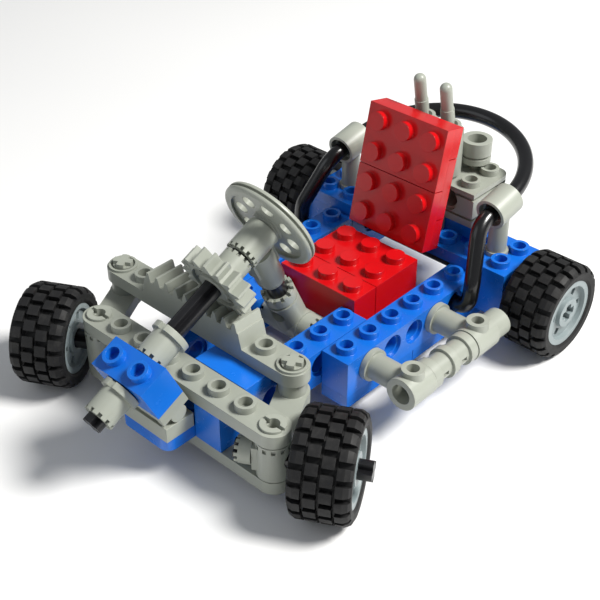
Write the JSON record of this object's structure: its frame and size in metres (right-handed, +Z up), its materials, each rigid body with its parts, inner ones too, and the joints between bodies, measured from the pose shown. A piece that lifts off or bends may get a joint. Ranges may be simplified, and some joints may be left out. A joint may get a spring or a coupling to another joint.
{
  "type": "toy go-kart kit",
  "caption": "Small go-kart built from studded toy beams and plates, with rack steering, rolling wheels, a red seat, a rear engine block and a black hoop hose.",
  "frame": {"origin": "on the ground, under the middle of the kart's overall length and width", "axes": "+X towards the nose, +Y towards the kart's left side (the exhaust side), +Z up"},
  "size_m": [0.1382, 0.0992, 0.0589],
  "materials": {
    "blue_plastic": "gloss",
    "red_plastic": "gloss",
    "grey_plastic": "satin",
    "black_plastic": "gloss",
    "rim_plastic": "satin",
    "tyre_rubber": "matte",
    "hose_rubber": "gloss"
  },
  "bodies": {
    "chassis": {"inner_beam_left": "blue_plastic", "inner_beam_right": "blue_plastic", "outer_beam_left": "blue_plastic", "outer_beam_right": "blue_plastic", "guide_tile": "blue_plastic", "side_plates": "blue_plastic", "nose_plate": "blue_plastic", "nose_brick": "blue_plastic", "rear_cross_plate": "blue_plastic", "axle_bricks": "blue_plastic", "seat_cross_plate": "blue_plastic", "seat_jumpers": "blue_plastic", "engine_base_plate": "blue_plastic", "seat_hinge_leaf": "red_plastic", "seat_cushion_rear": "red_plastic", "seat_cushion_front": "red_plastic", "seat_back_lower": "red_plastic", "seat_back_upper": "red_plastic", "seat_back_ties": "red_plastic", "front_upper_plate": "grey_plastic", "front_lower_plate": "grey_plastic", "king_pins": "grey_plastic", "hinge_base": "grey_plastic", "hinge_top": "grey_plastic", "strut_connector_upper": "grey_plastic", "strut_connector_lower": "grey_plastic", "strut_half_bushes": "grey_plastic", "seat_hinge_base": "grey_plastic", "engine_block": "grey_plastic", "engine_round_bricks": "grey_plastic", "lever_bases": "grey_plastic", "engine_cap": "grey_plastic", "hose_clips": "grey_plastic", "exhaust_joints": "grey_plastic", "exhaust_coupling": "grey_plastic", "exhaust_tail": "grey_plastic", "strut_pin": "black_plastic", "strut_axle": "black_plastic", "hoop_hose": "hose_rubber"},
    "steering_hub_left": {"hub_left": "grey_plastic"},
    "steering_hub_right": {"hub_right": "grey_plastic"},
    "tie_rod": {"tie_rod_rack": "grey_plastic"},
    "column": {"steering_axle": "black_plastic", "column_bushes": "grey_plastic", "pinion_gear": "grey_plastic", "gear_half_bush": "grey_plastic", "steering_wheel": "grey_plastic"},
    "front_wheel_left": {"front_tyre_left": "tyre_rubber", "front_rim_left": "rim_plastic", "front_axle_left": "black_plastic", "front_bush_left": "grey_plastic"},
    "front_wheel_right": {"front_tyre_right": "tyre_rubber", "front_rim_right": "rim_plastic", "front_axle_right": "black_plastic", "front_bush_right": "grey_plastic"},
    "rear_wheels": {"rear_tyres": "tyre_rubber", "rear_rims": "rim_plastic", "rear_axle": "black_plastic"},
    "control_lever_left": {"lever_left": "grey_plastic"},
    "control_lever_right": {"lever_right": "grey_plastic"}
  },
  "joints": [
    {"name": "steer_left", "type": "hinge", "parent": "chassis", "child": "steering_hub_left", "pos_m": [0.04312, 0.028, 0.0122], "axis": [0, 0, 1], "range_deg": [-57.4, 0.3]},
    {"name": "steer_right", "type": "hinge", "parent": "chassis", "child": "steering_hub_right", "pos_m": [0.04312, -0.028, 0.0122], "axis": [0, 0, 1], "range_deg": [-60, 2]},
    {"name": "tie_rod_pivot", "type": "hinge", "parent": "steering_hub_left", "child": "tie_rod", "pos_m": [0.02909, 0.02032, 0.0202], "axis": [0, 0, 1], "range_deg": [-2, 60]},
    {"name": "column_turn", "type": "hinge", "parent": "chassis", "child": "column", "pos_m": [0.04312, 0, 0.03084], "axis": [-0.9078, 0, 0.4195], "range_deg": [-118, 5]},
    {"name": "front_left_roll", "type": "hinge", "parent": "steering_hub_left", "child": "front_wheel_left", "pos_m": [0.04312, 0.028, 0.0122], "axis": [-0.4802, 0.8771, 0], "continuous": true},
    {"name": "front_right_roll", "type": "hinge", "parent": "steering_hub_right", "child": "front_wheel_right", "pos_m": [0.04312, -0.028, 0.0122], "axis": [-0.4802, 0.8771, 0], "continuous": true},
    {"name": "rear_roll", "type": "hinge", "parent": "chassis", "child": "rear_wheels", "pos_m": [-0.04088, 0, 0.0122], "axis": [0, 1, 0], "continuous": true},
    {"name": "lever_left_tilt", "type": "hinge", "parent": "chassis", "child": "control_lever_left", "pos_m": [-0.04487, 0.004, 0.0456], "axis": [0, 1, 0], "range_deg": [-27, 5]},
    {"name": "lever_right_tilt", "type": "hinge", "parent": "chassis", "child": "control_lever_right", "pos_m": [-0.04487, -0.004, 0.0456], "axis": [0, 1, 0], "range_deg": [-27, 5]}
  ],
  "couplings": [
    {"joint": "steer_right", "follows": "steer_left", "ratio": 1},
    {"joint": "tie_rod_pivot", "follows": "steer_left", "ratio": -1},
    {"joint": "column_turn", "follows": "steer_left", "ratio": 1.9174}
  ]
}
